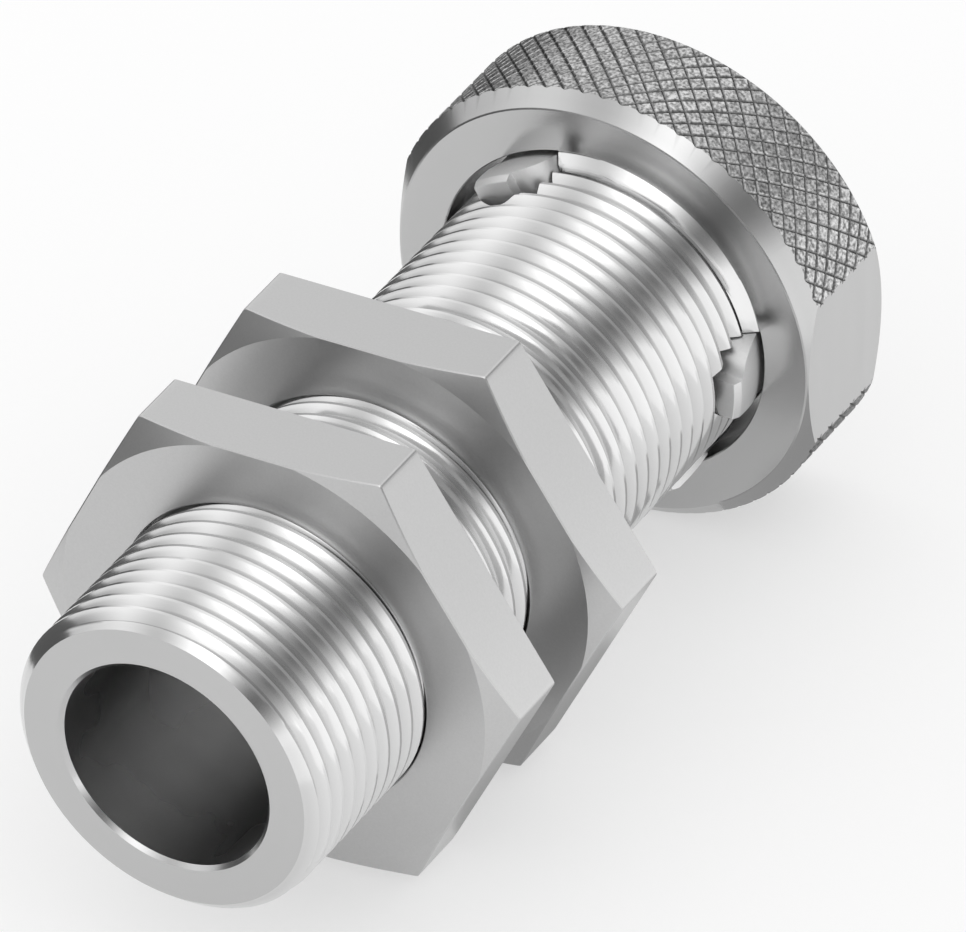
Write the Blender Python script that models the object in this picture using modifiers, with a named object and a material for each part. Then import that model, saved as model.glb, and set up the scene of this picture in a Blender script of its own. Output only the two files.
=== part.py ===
"""Screw-in fitting: a threaded sleeve with two hexagon lock nuts and a knurled nut over sprung-out claws.

Metres, +Z up. The fitting lies on the flats of its nuts, with the common axis along Y and the open
end of the sleeve towards -Y. The origin is the middle of the whole length, on the axis.

Every piece is modelled standing up, with its own axis on local Z and the open end upwards, and the
empty "fitting_axis" then lays them all down together.
"""
import math

import bmesh
import bpy
from mathutils import Matrix, Vector

MM = 0.001

# Threaded sleeve: an M16 x 1 thread all the way along
THREAD_RADIUS = 8.0 * MM
THREAD_PITCH = 1.0 * MM
THREAD_DEPTH = 0.5 * MM
THREAD_CREST_AT = 0.24 * MM         # from the open end to the first crest, in the direction of +X
THREAD_END_CHAMFER = 0.65 * MM
BORE_RADIUS = 5.35 * MM
BORE_CHAMFER = 0.2 * MM
SLEEVE_INSET = 0.5 * MM             # how far the rear end stays inside the knurled nut's back face
THREAD_CLEARANCE = 0.1 * MM         # between the crests and whatever is threaded on them

# Slots through the rear of the sleeve's wall, one for each claw
SLOT_HALF_WIDTH = 1.93 * MM
SLOT_REACH = 3.15 * MM              # past the knurled nut's front face
CLAW_MIDLINE = math.radians(55.15)  # the plane that mirrors the claws, from +X towards +Z
CLAW_SPREAD = math.radians(60.0)    # each claw's direction, either side of that plane

# Lock nuts, 22 mm across flats, chamfered on the face towards the open end
LOCK_NUT_FLATS = 22.0 * MM
LOCK_NUT_THICKNESS = 3.65 * MM
LOCK_NUT_FACE_RADIUS = 11.13 * MM
LOCK_NUT_CHAMFER = math.radians(20.0)
LOCK_NUT_COUNTERSINK = 0.25 * MM
FRONT_NUT_AT = 9.35 * MM            # from the sleeve's open end to the nut's front face
REAR_NUT_AT = 18.45 * MM

# Knurled nut with two wrench flats
KNURLED_NUT_AT = 38.7 * MM          # from the sleeve's open end to the nut's front face
KNURLED_LENGTH = 6.95 * MM
KNURLED_RADIUS = 11.7 * MM
KNURLED_CHAMFER = 0.78 * MM
KNURLED_FLATS = 22.0 * MM
COUNTERBORE_OVERSIZE = 0.64 * MM    # of its radius, past the thread's crests
COUNTERBORE_DEPTH = 2.6 * MM
KNURLED_COUNTERSINK = 0.25 * MM

# Claw sleeve: a short tube inside the threaded sleeve, with claws out through the slots
CLAW_TUBE_WALL = 0.75 * MM
CLAW_TUBE_CLEARANCE = 0.25 * MM
CLAW_STEP_CLEARANCE = 0.8 * MM      # from the tube's front end to the step in the sleeve's bore
CLAW_FOOT_PROUD = 0.36 * MM         # the foot's outer edge, past the thread's crests
CLAW_BAND_PROUD = 0.33 * MM         # the band that ties the feet of two claws
CLAW_FOOT_CLEARANCE = 0.3 * MM      # behind the foot, to the bottom of the counterbore
CLAW_HEIGHT = 2.6 * MM              # how far a claw stands out of the knurled nut's front face
CLAW_EDGE_HEIGHT = 2.2 * MM         # where its outer edge starts to round over
CLAW_ROOT_SUNK = 0.3 * MM           # the claw's outer side at its foot, under the thread's crests
CLAW_TIP_PROUD = 0.47 * MM          # and at its tip, past them
CLAW_LEAN_POWER = 1.4               # shape of the outward lean from root to tip
CLAW_NEAR_SIDE = 0.725 * MM         # side face towards the mirror plane
CLAW_FAR_SIDE = -1.18 * MM
CLAW_FOOT_NEAR = 1.68 * MM
CLAW_FOOT_FAR = -1.75 * MM

ROUND_STEPS = 96
BORE_STEPS = 60
THREAD_STEPS = 40
LEAN_STEPS = 5
ARC_STEPS = 6
OVERCUT = 1.0 * MM

# Worked out from the sizes above
LENGTH = KNURLED_NUT_AT + KNURLED_LENGTH
SLEEVE_LENGTH = LENGTH - SLEEVE_INSET
NUT_BORE_RADIUS = THREAD_RADIUS + THREAD_CLEARANCE
CLAW_TUBE_RADIUS = BORE_RADIUS + CLAW_TUBE_WALL
SLEEVE_COUNTERBORE_RADIUS = CLAW_TUBE_RADIUS + CLAW_TUBE_CLEARANCE
COUNTERBORE_RADIUS = THREAD_RADIUS + COUNTERBORE_OVERSIZE
CLAW_FOOT_DEPTH = COUNTERBORE_DEPTH - CLAW_FOOT_CLEARANCE
CLAW_FOOT_RADIUS = THREAD_RADIUS + CLAW_FOOT_PROUD
CLAW_BAND_RADIUS = THREAD_RADIUS + CLAW_BAND_PROUD
CLAW_ROOT_RADIUS = THREAD_RADIUS - CLAW_ROOT_SUNK
CLAW_TIP_RADIUS = THREAD_RADIUS + CLAW_TIP_PROUD
OPEN_END = LENGTH / 2


def clear_scene():
    for thing in list(bpy.data.objects):
        bpy.data.objects.remove(thing, do_unlink=True)


def new_collection(name):
    group = bpy.data.collections.new(name)
    bpy.context.scene.collection.children.link(group)
    return group


def metal(name, color, roughness):
    material = bpy.data.materials.new(name)
    material.use_nodes = True
    shader = material.node_tree.nodes["Principled BSDF"]
    shader.inputs["Base Color"].default_value = (*color, 1.0)
    shader.inputs["Metallic"].default_value = 1.0
    shader.inputs["Roughness"].default_value = roughness
    return material


def add_object(name, mesh, group, axis, height=0.0):
    """Put a mesh on the common axis, its own zero at the given height along it."""
    thing = bpy.data.objects.new(name, mesh)
    group.objects.link(thing)
    thing.parent = axis
    thing.location.z = height
    return thing


def hide_cutter(thing):
    thing.hide_render = True
    thing.display_type = "WIRE"
    return thing


def turned(name, profile, steps, group, axis, height=0.0):
    """Turn a closed profile of (radius, height) points, listed down its outer side, into a ring."""
    mesh = bpy.data.meshes.new(name)
    count = len(profile)
    mesh.from_pydata(
        [(radius, 0.0, level) for radius, level in profile],
        [(i, (i + 1) % count) for i in range(count)],
        [],
    )
    ring = add_object(name, mesh, group, axis, height)
    screw = ring.modifiers.new("turn", "SCREW")
    screw.axis = "Z"
    screw.angle = math.tau
    screw.steps = steps
    screw.render_steps = steps
    screw.use_merge_vertices = True
    screw.merge_threshold = 0.00001
    return ring


def prism(name, outline, low, high, place, group, axis, height=0.0):
    """Raise a flat outline from low to high; place turns (x, y, level) into the piece's frame."""
    mesh = bpy.data.meshes.new(name)
    solid = bmesh.new()
    base = [solid.verts.new(Vector((x, y, low))) for x, y in outline]
    face = solid.faces.new(base)
    raised = bmesh.ops.extrude_face_region(solid, geom=[face])
    tops = [item for item in raised["geom"] if isinstance(item, bmesh.types.BMVert)]
    bmesh.ops.translate(solid, verts=tops, vec=(0.0, 0.0, high - low))
    bmesh.ops.transform(solid, matrix=place, verts=solid.verts)
    bmesh.ops.recalc_face_normals(solid, faces=solid.faces)
    solid.to_mesh(mesh)
    solid.free()
    return add_object(name, mesh, group, axis, height)


def combine(target, tool, operation):
    boolean = target.modifiers.new(tool.name, "BOOLEAN")
    boolean.operation = operation
    boolean.solver = "EXACT"
    boolean.object = tool
    return boolean


def claw_directions():
    """Angle of each claw and +1 or -1 for the side on which the mirror plane lies."""
    for half_turn in (0.0, math.pi):
        for side in (1, -1):
            yield CLAW_MIDLINE + half_turn + side * CLAW_SPREAD, side


def claw_frame(angle, side):
    """Axes of one claw: outwards, across towards the mirror plane, and along the fitting."""
    outwards = Vector((math.cos(angle), math.sin(angle), 0.0))
    across = side * Vector((math.sin(angle), -math.cos(angle), 0.0))
    return outwards, across, Vector((0.0, 0.0, 1.0))


def axes_matrix(first, second, third):
    return Matrix((first, second, third)).transposed().to_4x4()


def thread_point(row, step, low, high):
    """A point of the right-hand thread: even rows run along crests, odd rows along roots."""
    first = (math.ceil(high / THREAD_PITCH) + 1) * THREAD_PITCH - THREAD_CREST_AT
    level = first + THREAD_PITCH * (step / THREAD_STEPS - row / 2)
    inside = low < level < high
    radius = THREAD_RADIUS - (THREAD_DEPTH if inside and row % 2 else 0.0)
    turn = math.tau * step / THREAD_STEPS
    return Vector((radius * math.cos(turn), radius * math.sin(turn), min(max(level, low), high)))


def threaded_bar(name, low, high, group, axis, height):
    """A solid bar from low to high with the thread wound on it, each turn one pitch further on."""
    rows = 2 * (math.ceil((high - low) / THREAD_PITCH) + 3)
    mesh = bpy.data.meshes.new(name)
    solid = bmesh.new()
    grid = [
        [solid.verts.new(thread_point(row, step, low, high)) for step in range(THREAD_STEPS + 1)]
        for row in range(rows)
    ]
    for upper, lower in zip(grid, grid[1:]):
        for step in range(THREAD_STEPS):
            solid.faces.new((upper[step], lower[step], lower[step + 1], upper[step + 1]))
    bmesh.ops.remove_doubles(solid, verts=solid.verts, dist=THREAD_DEPTH / 1000)
    bmesh.ops.dissolve_degenerate(solid, edges=solid.edges, dist=THREAD_DEPTH / 1000)
    rims = [edge for edge in solid.edges if edge.is_boundary]
    bmesh.ops.holes_fill(solid, edges=rims, sides=0)
    bmesh.ops.triangulate(solid, faces=solid.faces)
    bmesh.ops.recalc_face_normals(solid, faces=solid.faces)
    solid.to_mesh(mesh)
    solid.free()
    return add_object(name, mesh, group, axis, height)


def make_sleeve(parts, cutters, axis):
    """The long threaded tube, slotted at its rear end; height 0 is its open end face."""
    step = -(KNURLED_NUT_AT - CLAW_HEIGHT - CLAW_STEP_CLEARANCE)
    rear = -SLEEVE_LENGTH
    profile = [
        (BORE_RADIUS + BORE_CHAMFER, 0.0),
        (THREAD_RADIUS - THREAD_END_CHAMFER, 0.0),
        (THREAD_RADIUS + OVERCUT, -THREAD_END_CHAMFER - OVERCUT),
        (THREAD_RADIUS + OVERCUT, rear + THREAD_END_CHAMFER + OVERCUT),
        (THREAD_RADIUS - THREAD_END_CHAMFER, rear),
        (SLEEVE_COUNTERBORE_RADIUS, rear),
        (SLEEVE_COUNTERBORE_RADIUS, step),
        (BORE_RADIUS, step),
        (BORE_RADIUS, -BORE_CHAMFER),
    ]
    sleeve = turned("threaded_sleeve", profile, BORE_STEPS, parts, axis, OPEN_END)
    bar = threaded_bar("threaded_bar", rear - OVERCUT, OVERCUT, cutters, axis, OPEN_END)
    combine(sleeve, hide_cutter(bar), "INTERSECT")
    slot_end = SLOT_REACH - KNURLED_NUT_AT
    round_centre = slot_end - SLOT_HALF_WIDTH
    outline = [(SLOT_HALF_WIDTH, rear - OVERCUT)]
    for i in range(2 * ARC_STEPS + 1):
        turn = math.pi * i / (2 * ARC_STEPS)
        outline.append((SLOT_HALF_WIDTH * math.cos(turn), round_centre + SLOT_HALF_WIDTH * math.sin(turn)))
    outline.append((-SLOT_HALF_WIDTH, rear - OVERCUT))
    for number, (angle, side) in enumerate(claw_directions()):
        outwards, across, along = claw_frame(angle, side)
        place = axes_matrix(across, along, outwards)
        slot = prism(
            f"slot_{number}", outline, BORE_RADIUS - OVERCUT, THREAD_RADIUS + OVERCUT,
            place, cutters, axis, OPEN_END,
        )
        combine(sleeve, hide_cutter(slot), "DIFFERENCE")
    return sleeve


def make_lock_nut(name, front_at, parts, cutters, axis):
    """A flat hexagon nut with one chamfered face; height 0 is its plain clamping face."""
    height = OPEN_END - front_at - LOCK_NUT_THICKNESS
    corner_radius = LOCK_NUT_FLATS / 2 / math.cos(math.pi / 6)
    mesh = bpy.data.meshes.new(name)
    hexagon = bmesh.new()
    bmesh.ops.create_cone(
        hexagon, cap_ends=True, segments=6, radius1=corner_radius, radius2=corner_radius,
        depth=LOCK_NUT_THICKNESS + 2 * OVERCUT,
    )
    bmesh.ops.rotate(hexagon, verts=hexagon.verts, cent=(0, 0, 0), matrix=Matrix.Rotation(math.pi / 6, 3, "Z"))
    bmesh.ops.translate(hexagon, verts=hexagon.verts, vec=(0.0, 0.0, LOCK_NUT_THICKNESS / 2))
    hexagon.to_mesh(mesh)
    hexagon.free()
    nut = add_object(name, mesh, parts, axis, height)
    blank_radius = corner_radius + OVERCUT
    chamfer_drop = (blank_radius - LOCK_NUT_FACE_RADIUS) * math.tan(LOCK_NUT_CHAMFER)
    blank = turned(
        f"{name}_blank",
        [
            (NUT_BORE_RADIUS + LOCK_NUT_COUNTERSINK, LOCK_NUT_THICKNESS),
            (LOCK_NUT_FACE_RADIUS, LOCK_NUT_THICKNESS),
            (blank_radius, LOCK_NUT_THICKNESS - chamfer_drop),
            (blank_radius, 0.0),
            (NUT_BORE_RADIUS + LOCK_NUT_COUNTERSINK, 0.0),
            (NUT_BORE_RADIUS, LOCK_NUT_COUNTERSINK),
            (NUT_BORE_RADIUS, LOCK_NUT_THICKNESS - LOCK_NUT_COUNTERSINK),
        ],
        ROUND_STEPS, cutters, axis, height,
    )
    combine(nut, hide_cutter(blank), "INTERSECT")
    return nut


def make_knurled_nut(parts, cutters, axis):
    """The round nut that slides the claws; height 0 is its front face."""
    height = OPEN_END - KNURLED_NUT_AT
    face_radius = KNURLED_RADIUS - KNURLED_CHAMFER
    profile = [
        (COUNTERBORE_RADIUS, 0.0),
        (face_radius, 0.0),
        (KNURLED_RADIUS, -KNURLED_CHAMFER),
        (KNURLED_RADIUS, KNURLED_CHAMFER - KNURLED_LENGTH),
        (face_radius, -KNURLED_LENGTH),
        (NUT_BORE_RADIUS + KNURLED_COUNTERSINK, -KNURLED_LENGTH),
        (NUT_BORE_RADIUS, KNURLED_COUNTERSINK - KNURLED_LENGTH),
        (NUT_BORE_RADIUS, -COUNTERBORE_DEPTH),
        (COUNTERBORE_RADIUS, -COUNTERBORE_DEPTH),
    ]
    nut = turned("knurled_nut", profile, ROUND_STEPS, parts, axis, height)
    flat_angle = CLAW_MIDLINE - CLAW_SPREAD
    block = [
        (KNURLED_FLATS / 2, -KNURLED_RADIUS),
        (KNURLED_RADIUS + OVERCUT, -KNURLED_RADIUS),
        (KNURLED_RADIUS + OVERCUT, KNURLED_RADIUS),
        (KNURLED_FLATS / 2, KNURLED_RADIUS),
    ]
    for number in range(2):
        turn = Matrix.Rotation(flat_angle + number * math.pi, 4, "Z")
        flat = prism(
            f"wrench_flat_{number}", block, -KNURLED_LENGTH - OVERCUT, OVERCUT, turn, cutters, axis, height,
        )
        combine(nut, hide_cutter(flat), "DIFFERENCE")
    return nut


def foot_outline(tube_middle):
    """Plan of a claw's foot, as (outwards, across) points with its outer edge on an arc."""
    first = math.asin(CLAW_FOOT_NEAR / CLAW_FOOT_RADIUS)
    last = math.asin(CLAW_FOOT_FAR / CLAW_FOOT_RADIUS)
    outline = [(tube_middle, CLAW_NEAR_SIDE), (CLAW_ROOT_RADIUS, CLAW_NEAR_SIDE)]
    for i in range(ARC_STEPS + 1):
        turn = first + (last - first) * i / ARC_STEPS
        outline.append((CLAW_FOOT_RADIUS * math.cos(turn), CLAW_FOOT_RADIUS * math.sin(turn)))
    outline.append((tube_middle, CLAW_FOOT_FAR))
    return outline


def band_outline(middle_angle):
    """Plan of the band over the thread between the feet of two claws, from one claw to the other."""
    reach = math.pi / 2 - CLAW_SPREAD
    turns = [middle_angle + reach * (i / ARC_STEPS - 1) for i in range(2 * ARC_STEPS + 1)]
    outer = [(CLAW_BAND_RADIUS * math.cos(turn), CLAW_BAND_RADIUS * math.sin(turn)) for turn in turns]
    inner = [(NUT_BORE_RADIUS * math.cos(turn), NUT_BORE_RADIUS * math.sin(turn)) for turn in reversed(turns)]
    return outer + inner


def claw_outline(tube_middle):
    """Side view of a claw, as (outwards, along) points, leaning out from its foot to its tip."""
    outline = [(tube_middle, CLAW_HEIGHT), (tube_middle, -CLAW_FOOT_DEPTH), (CLAW_ROOT_RADIUS, -CLAW_FOOT_DEPTH)]
    for i in range(LEAN_STEPS + 1):
        share = i / LEAN_STEPS
        lean = (CLAW_TIP_RADIUS - CLAW_ROOT_RADIUS) * share ** CLAW_LEAN_POWER
        outline.append((CLAW_ROOT_RADIUS + lean, CLAW_EDGE_HEIGHT * share))
    rounding = CLAW_HEIGHT - CLAW_EDGE_HEIGHT
    outline.append((CLAW_TIP_RADIUS - rounding / 10, CLAW_HEIGHT - rounding / 4))
    outline.append((CLAW_TIP_RADIUS - rounding / 3, CLAW_HEIGHT))
    return outline


def make_claw_sleeve(parts, cutters, axis):
    """A short tube with claws that reach out through the slots; height 0 as on the knurled nut."""
    height = OPEN_END - KNURLED_NUT_AT
    tube = turned(
        "claw_sleeve",
        [
            (BORE_RADIUS, CLAW_HEIGHT),
            (CLAW_TUBE_RADIUS, CLAW_HEIGHT),
            (CLAW_TUBE_RADIUS, -CLAW_FOOT_DEPTH),
            (BORE_RADIUS, -CLAW_FOOT_DEPTH),
        ],
        BORE_STEPS, parts, axis, height,
    )
    tube_middle = BORE_RADIUS + CLAW_TUBE_WALL / 2
    for number, (angle, side) in enumerate(claw_directions()):
        outwards, across, along = claw_frame(angle, side)
        foot = prism(
            f"claw_foot_{number}", foot_outline(tube_middle), -CLAW_FOOT_DEPTH, 0.0,
            axes_matrix(outwards, across, along), cutters, axis, height,
        )
        claw = prism(
            f"claw_{number}", claw_outline(tube_middle), CLAW_FAR_SIDE, CLAW_NEAR_SIDE,
            axes_matrix(outwards, along, across), cutters, axis, height,
        )
        combine(tube, hide_cutter(foot), "UNION")
        combine(tube, hide_cutter(claw), "UNION")
    for number in range(2):
        outline = band_outline(CLAW_MIDLINE + math.pi * (number + 0.5))
        band = prism(
            f"claw_band_{number}", outline, -CLAW_FOOT_DEPTH, 0.0, Matrix.Identity(4), cutters, axis, height,
        )
        combine(tube, hide_cutter(band), "UNION")
    return tube


def finish(piece, material):
    piece.data.materials.append(material)
    graph = bpy.context.evaluated_depsgraph_get()
    mesh = bpy.data.meshes.new_from_object(piece.evaluated_get(graph), depsgraph=graph)
    piece.modifiers.clear()
    mesh.shade_smooth()
    mesh.set_sharp_from_angle(angle=math.radians(20.0))
    mesh.materials.clear()
    mesh.materials.append(material)
    mesh.name = piece.name
    piece.data = mesh


def build():
    clear_scene()
    parts = new_collection("screw_in_fitting")
    cutters = new_collection("cutters")
    axis = bpy.data.objects.new("fitting_axis", None)
    parts.objects.link(axis)
    axis.rotation_euler.x = math.pi / 2

    sleeve = make_sleeve(parts, cutters, axis)
    front_nut = make_lock_nut("front_lock_nut", FRONT_NUT_AT, parts, cutters, axis)
    rear_nut = make_lock_nut("rear_lock_nut", REAR_NUT_AT, parts, cutters, axis)
    knurled_nut = make_knurled_nut(parts, cutters, axis)
    claw_sleeve = make_claw_sleeve(parts, cutters, axis)
    bpy.context.view_layer.update()

    finish(sleeve, metal("thread_metal", (0.80, 0.80, 0.80), 0.22))
    finish(front_nut, metal("front_nut_metal", (0.72, 0.72, 0.72), 0.28))
    finish(rear_nut, metal("rear_nut_metal", (0.72, 0.72, 0.72), 0.28))
    finish(knurled_nut, metal("knurled_metal", (0.70, 0.70, 0.70), 0.30))
    finish(claw_sleeve, metal("claw_metal", (0.66, 0.66, 0.66), 0.32))


build()
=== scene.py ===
# %% [markdown]
# # A screw-in fitting, from plain solids to turned metal
#
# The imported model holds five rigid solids: a threaded sleeve, two flat hexagon lock nuts, a knurled
# nut, and a sleeve with claws that stand out through slots. They are right in size and place, but the
# thread has plain sharp teeth in straight steps, the knurled rim is smooth and every edge is knife
# sharp. This lesson keeps every size that it can read from the solids and dresses them: a fine thread,
# a real cross knurl, broken edges, and metal that shows how each face was cut.

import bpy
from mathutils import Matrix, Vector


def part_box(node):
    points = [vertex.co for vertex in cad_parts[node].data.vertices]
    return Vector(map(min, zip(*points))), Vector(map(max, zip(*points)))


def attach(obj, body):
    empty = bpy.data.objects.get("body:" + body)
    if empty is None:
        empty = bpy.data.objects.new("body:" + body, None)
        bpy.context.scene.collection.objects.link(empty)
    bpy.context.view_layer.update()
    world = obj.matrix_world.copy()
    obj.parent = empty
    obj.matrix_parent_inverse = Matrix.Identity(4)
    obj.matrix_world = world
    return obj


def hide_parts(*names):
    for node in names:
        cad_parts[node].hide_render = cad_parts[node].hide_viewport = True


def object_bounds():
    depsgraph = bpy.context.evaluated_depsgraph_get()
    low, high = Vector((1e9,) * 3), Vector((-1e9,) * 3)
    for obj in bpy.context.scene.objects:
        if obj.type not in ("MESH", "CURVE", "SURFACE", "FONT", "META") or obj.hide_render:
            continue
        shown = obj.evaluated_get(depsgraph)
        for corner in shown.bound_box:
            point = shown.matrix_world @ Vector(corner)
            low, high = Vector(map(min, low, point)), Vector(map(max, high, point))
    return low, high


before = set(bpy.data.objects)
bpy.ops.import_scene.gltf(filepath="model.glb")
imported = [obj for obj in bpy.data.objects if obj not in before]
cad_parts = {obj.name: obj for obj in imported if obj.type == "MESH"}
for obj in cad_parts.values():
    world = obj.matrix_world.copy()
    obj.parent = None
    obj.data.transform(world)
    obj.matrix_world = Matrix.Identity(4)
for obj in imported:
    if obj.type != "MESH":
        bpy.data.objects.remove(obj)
cad_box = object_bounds()

# %% What else the script needs
import math

import bmesh
import bpy
from mathutils import Matrix, Vector

MM = 0.001
print("box of the solids, mm:", [[round(v / MM, 2) for v in corner] for corner in cad_box])

# %% [markdown]
# ## Where things are
#
# Everything is round about the Y axis, so two numbers place a point across it: its distance from the
# axis, and an angle that starts at +X and turns towards +Z. The third number is its place along Y, from
# the open end of the sleeve at -Y to the knurled nut at +Y. The solids give the lengths.

# %% Sizes read from the solids
sleeve_low, sleeve_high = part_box("threaded_sleeve")
knurled_low, knurled_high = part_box("knurled_nut")
claw_low, claw_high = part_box("claw_sleeve")

OPEN_END = sleeve_low.y
SLEEVE_REAR = sleeve_high.y
CREST_RADIUS = sleeve_high.z
RIM_RADIUS = knurled_high.z
KNURLED_FRONT = knurled_low.y
KNURLED_REAR = knurled_high.y
KNURLED_MIDDLE = (KNURLED_FRONT + KNURLED_REAR) / 2


def around(radius, angle, along):
    """A point at a distance from the axis, an angle from +X towards +Z, and a place along Y."""
    return Vector((radius * math.cos(angle), along, radius * math.sin(angle)))


print("thread radius, mm:", round(CREST_RADIUS / MM, 3))
print("sleeve length, mm:", round((SLEEVE_REAR - OPEN_END) / MM, 2))

# %% [markdown]
# ## Helpers for node trees
#
# Geometry Nodes and shader groups are both node trees with named sockets. Small helpers keep the later
# cells short: one adds a node and fills its inputs, linking what is a socket and typing in what is a
# number, and one chains Math nodes.

# %% Node helpers
def node(tree, kind, inputs=(), **settings):
    """Add a node. Inputs are (socket, value) pairs, where a value may be another node's output."""
    made = tree.nodes.new(kind)
    for name, value in settings.items():
        setattr(made, name, value)
    for socket, value in inputs:
        if isinstance(value, bpy.types.NodeSocket):
            tree.links.new(value, made.inputs[socket])
        else:
            made.inputs[socket].default_value = value
    return made


def sums(tree, operation, *values):
    """One Math node; returns its output."""
    return node(tree, "ShaderNodeMath", list(enumerate(values)), operation=operation).outputs[0]


def group_input(tree, name, kind, value):
    """A named input of a tree, with its default value."""
    socket = tree.interface.new_socket(name, in_out="INPUT", socket_type=kind)
    socket.default_value = value


print("node helpers: node, sums, group_input")

# %% [markdown]
# A Geometry Nodes tree here starts from nothing but numbers: its sizes, its counts and its metal. It
# ends the same way each time. Points that meet are merged, instances are made real, because the export
# drops them, and the metal is set. The tree runs once on an empty object, and its result stays as a
# plain mesh without a modifier.

# %% Geometry Nodes helpers
def loose_object(name, mesh):
    """An object at the origin, unturned and unscaled, that shows a mesh."""
    thing = bpy.data.objects.new(name, mesh)
    bpy.context.scene.collection.objects.link(thing)
    return thing


def geometry_tree(name, sizes, counts):
    """An empty tree with a named input for each size, each count and the metal."""
    tree = bpy.data.node_groups.new(name, "GeometryNodeTree")
    tree.interface.new_socket("Geometry", in_out="OUTPUT", socket_type="NodeSocketGeometry")
    for kind, values in (("NodeSocketFloat", sizes), ("NodeSocketInt", counts)):
        for label, value in values.items():
            group_input(tree, label, kind, value)
    group_input(tree, "Metal", "NodeSocketMaterial", None)
    return tree, node(tree, "NodeGroupInput").outputs


def split_position(tree):
    """The X, Y and Z of the points that the tree works on."""
    position = node(tree, "GeometryNodeInputPosition").outputs[0]
    return node(tree, "ShaderNodeSeparateXYZ", [(0, position)]).outputs


def point_around(tree, radius, angle, along):
    """The same as around(), as nodes."""
    x = sums(tree, "MULTIPLY", radius, sums(tree, "COSINE", angle))
    z = sums(tree, "MULTIPLY", radius, sums(tree, "SINE", angle))
    return node(tree, "ShaderNodeCombineXYZ", [("X", x), ("Y", along), ("Z", z)]).outputs[0]


def finish_tree(tree, geometry, metal, weld):
    """Merge points that meet, make instances real, and set the metal."""
    merged = node(tree, "GeometryNodeMergeByDistance", [("Geometry", geometry), ("Distance", weld)])
    real = node(tree, "GeometryNodeRealizeInstances", [("Geometry", merged.outputs[0])])
    dressed = node(tree, "GeometryNodeSetMaterial", [("Geometry", real.outputs[0]), ("Material", metal)])
    tree.links.new(dressed.outputs[0], node(tree, "NodeGroupOutput").inputs[0])


def apply_tree(name, tree, values):
    """Run a Geometry Nodes tree on an empty object and keep its result as a plain mesh."""
    carrier = loose_object(name, bpy.data.meshes.new(name))
    modifier = carrier.modifiers.new("nodes", "NODES")
    modifier.node_group = tree
    for item in tree.interface.items_tree:
        if item.item_type == "SOCKET" and item.name in values:
            modifier[item.identifier] = values[item.name]
    graph = bpy.context.evaluated_depsgraph_get()
    mesh = bpy.data.meshes.new_from_object(carrier.evaluated_get(graph), depsgraph=graph)
    carrier.modifiers.remove(modifier)
    carrier.data = mesh
    mesh.name = name
    print(f"{name}: {len(mesh.vertices)} points, {len(mesh.polygons)} faces")
    return carrier


print("tree helpers: geometry_tree, split_position, point_around, finish_tree, apply_tree")

# %% [markdown]
# ## Helpers for solid shapes
#
# A lathe turns a profile about an axis, and a mill raises or cuts an outline. The mesh helpers do the
# same. Columns of points stand round the axis and are skinned with faces, an outline is raised as a
# prism, and an exact Boolean cuts one closed solid with another. It could all be done by hand in Edit
# Mode, but a script keeps each size in one place.

# %% Mesh helpers
WELD = 0.0005 * MM


def object_from(name, shape, *metals):
    """Keep a BMesh as a new object's mesh, with its metals, and let the BMesh go."""
    mesh = bpy.data.meshes.new(name)
    shape.to_mesh(mesh)
    shape.free()
    for metal in metals:
        mesh.materials.append(metal)
    return loose_object(name, mesh)


def full_turn(steps):
    """Evenly spaced angles round the axis."""
    return [math.tau * k / steps for k in range(steps)]


def columns_around(shape, angles, profile_at):
    """A column of new points at each angle, where profile_at(angle) gives (radius, along) pairs."""
    return [
        [shape.verts.new(around(radius, angle, along)) for radius, along in profile_at(angle)]
        for angle in angles
    ]


def skin(shape, columns, metals=None):
    """Faces between columns: closed loops, or open ones with a material slot for each gap."""
    count = len(columns[0])
    for here, there in zip(columns, columns[1:] + columns[:1]):
        for i in range(len(metals) if metals else count):
            j = (i + 1) % count
            face = shape.faces.new((here[i], here[j], there[j], there[i]))
            if metals:
                face.material_index = metals[i]


def turned(name, profile, steps, metal):
    """Turn a closed profile of (radius, along) points about the Y axis, faces outwards."""
    shape = bmesh.new()
    skin(shape, columns_around(shape, full_turn(steps), lambda angle: profile))
    bmesh.ops.recalc_face_normals(shape, faces=shape.faces)
    return object_from(name, shape, metal)


def prism(name, outline, direction, low, high):
    """Raise an outline, points in space, along a direction from low to high."""
    shape = bmesh.new()
    base = [shape.verts.new(point + direction * low) for point in outline]
    top = [shape.verts.new(point + direction * high) for point in outline]
    count = len(outline)
    shape.faces.new(base)
    shape.faces.new(list(reversed(top)))
    for i in range(count):
        j = (i + 1) % count
        shape.faces.new((base[i], top[i], top[j], base[j]))
    bmesh.ops.recalc_face_normals(shape, faces=shape.faces)
    return object_from(name, shape)


print("mesh helpers: object_from, full_turn, columns_around, skin, turned, prism")


# %% Cutting and cleaning
def joined(name, things, metal):
    """Several closed meshes of one metal as the parts of one object."""
    shape = bmesh.new()
    for thing in things:
        shape.from_mesh(thing.data)
        bpy.data.objects.remove(thing)
    return object_from(name, shape, metal)


def carve(target, tool, operation):
    """One exact Boolean, applied at once; faces keep the material of the solid they come from."""
    boolean = target.modifiers.new(operation.lower(), "BOOLEAN")
    boolean.operation = operation
    boolean.solver = "EXACT"
    boolean.material_mode = "TRANSFER"
    boolean.object = tool
    graph = bpy.context.evaluated_depsgraph_get()
    mesh = bpy.data.meshes.new_from_object(target.evaluated_get(graph), depsgraph=graph)
    target.modifiers.clear()
    target.data = mesh
    mesh.name = target.name
    bpy.data.objects.remove(tool)


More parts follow.
